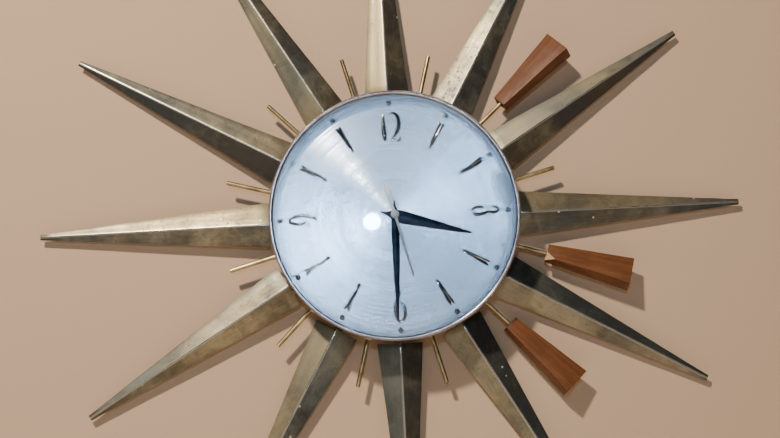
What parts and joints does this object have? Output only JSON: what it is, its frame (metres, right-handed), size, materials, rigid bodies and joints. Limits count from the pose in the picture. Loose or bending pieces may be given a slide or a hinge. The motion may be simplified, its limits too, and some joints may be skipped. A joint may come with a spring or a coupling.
{
  "type": "sunburst wall clock",
  "caption": "Round glazed wall clock ringed by folded brass rays and brass rods with tapered teak paddles; battery balance-wheel movement turns hour, minute and second hands.",
  "frame": {"origin": "on the hand axis, in the wall plane: the back face of the hanger strap", "axes": "+Z to 12 o'clock, +X to 3 o'clock as the dial is read, +Y into the wall; the dial faces -Y"},
  "size_m": [0.66, 0.063, 0.66],
  "materials": {
    "ray_brass": "tarnished, brushed",
    "rod_brass": "polished, lightly tarnished",
    "wheel_brass": "satin",
    "teak": "oiled",
    "pan_steel": "dark bronze enamel",
    "bezel_metal": "satin plated",
    "dial_aluminium": "circular brushed",
    "hand_steel": "blued",
    "second_white": "silver white lacquer",
    "plated_steel": "nickel plated",
    "moulding": "moulded",
    "rubber": "matte",
    "cell_wrap": "printed sleeve, plain",
    "board": "phenolic",
    "copper": "enamelled copper winding",
    "spring_blue": "blued",
    "glass": "clear, domed"
  },
  "bodies": {
    "case": {"ray_01": "ray_brass", "ray_02": "ray_brass", "ray_03": "ray_brass", "ray_04": "ray_brass", "ray_05": "ray_brass", "ray_06": "ray_brass", "ray_07": "ray_brass", "ray_08": "ray_brass", "ray_09": "ray_brass", "ray_10": "ray_brass", "ray_11": "ray_brass", "ray_12": "ray_brass", "rod_01": "rod_brass", "rod_02": "rod_brass", "rod_03": "rod_brass", "rod_04": "rod_brass", "rod_05": "rod_brass", "rod_06": "rod_brass", "rod_07": "rod_brass", "rod_08": "rod_brass", "rod_09": "rod_brass", "rod_10": "rod_brass", "rod_11": "rod_brass", "rod_12": "rod_brass", "paddle_01_30": "teak", "paddle_03_30": "teak", "paddle_04_30": "teak", "case_pan": "pan_steel", "bezel": "bezel_metal", "glass": "glass", "dial": "dial_aluminium", "dial_nut": "wheel_brass", "front_cover": "plated_steel", "rear_cover": "moulding", "front_plate": "plated_steel", "back_plate": "plated_steel", "battery_holder": "moulding", "contact_positive": "plated_steel", "contact_negative": "plated_steel", "circuit_board": "board", "drive_coil": "copper", "hanger_strap": "plated_steel", "bumper_left": "rubber", "bumper_right": "rubber"},
    "seconds_arbor": {"seconds_wheel": "wheel_brass", "second_hand": "second_white"},
    "third_arbor": {"third_wheel": "wheel_brass"},
    "centre_arbor": {"centre_wheel": "wheel_brass", "minute_hand": "hand_steel"},
    "motion_wheel": {"minute_wheel": "wheel_brass"},
    "hour_barrel": {"hour_wheel": "wheel_brass", "hour_hand": "hand_steel"},
    "index_arbor": {"index_wheel": "wheel_brass"},
    "setting_arbor": {"setting_knob": "moulding"},
    "lever": {"index_lever": "plated_steel"},
    "balance": {"balance_wheel": "wheel_brass", "hairspring": "spring_blue"},
    "rate_lever": {"regulator": "plated_steel"},
    "cell": {"battery_cell": "cell_wrap"}
  },
  "joints": [
    {"name": "second_hand_turn", "type": "hinge", "parent": "case", "child": "seconds_arbor", "pos_m": [0, -0.0213, 0], "axis": [0, 1, 0], "continuous": true},
    {"name": "third_wheel_turn", "type": "hinge", "parent": "case", "child": "third_arbor", "pos_m": [-0.01178, -0.0247, 0.0068], "axis": [0, 1, 0], "continuous": true},
    {"name": "minute_hand_turn", "type": "hinge", "parent": "case", "child": "centre_arbor", "pos_m": [0, -0.0279, 0], "axis": [0, 1, 0], "continuous": true},
    {"name": "motion_wheel_turn", "type": "hinge", "parent": "case", "child": "motion_wheel", "pos_m": [0.005, -0.0356, -0.00866], "axis": [0, 1, 0], "continuous": true},
    {"name": "hour_hand_turn", "type": "hinge", "parent": "case", "child": "hour_barrel", "pos_m": [0, -0.0373, 0], "axis": [0, 1, 0], "continuous": true},
    {"name": "index_wheel_turn", "type": "hinge", "parent": "case", "child": "index_arbor", "pos_m": [0.0068, -0.0185, 0.01178], "axis": [0, 1, 0], "continuous": true},
    {"name": "setting_knob_turn", "type": "hinge", "parent": "case", "child": "setting_arbor", "pos_m": [0.01608, -0.005, -0.01061], "axis": [0, 1, 0], "continuous": true},
    {"name": "lever_rock", "type": "hinge", "parent": "case", "child": "lever", "pos_m": [0.01479, -0.0185, 0.01469], "axis": [0, 1, 0], "range_deg": [-4, 4]},
    {"name": "balance_swing", "type": "hinge", "parent": "case", "child": "balance", "pos_m": [0.0223, -0.0151, 0.01742], "axis": [0, 1, 0], "range_deg": [-135, 135], "stiffness_Nm_per_rad": 0.00005},
    {"name": "regulator_swing", "type": "hinge", "parent": "case", "child": "rate_lever", "pos_m": [0.0223, -0.0106, 0.01742], "axis": [0, 1, 0], "range_deg": [-20, 20]},
    {"name": "cell_slide", "type": "slide", "parent": "case", "child": "cell", "axis": [0, 1, 0], "range_m": [0, 0.045]}
  ],
  "couplings": [
    {"joint": "third_wheel_turn", "follows": "second_hand_turn", "ratio": -0.13333},
    {"joint": "minute_hand_turn", "follows": "second_hand_turn", "ratio": 0.016667},
    {"joint": "motion_wheel_turn", "follows": "second_hand_turn", "ratio": -0.0055556},
    {"joint": "hour_hand_turn", "follows": "second_hand_turn", "ratio": 0.0013889},
    {"joint": "index_wheel_turn", "follows": "second_hand_turn", "ratio": -7.5},
    {"joint": "setting_knob_turn", "follows": "second_hand_turn", "ratio": 0.011111}
  ]
}
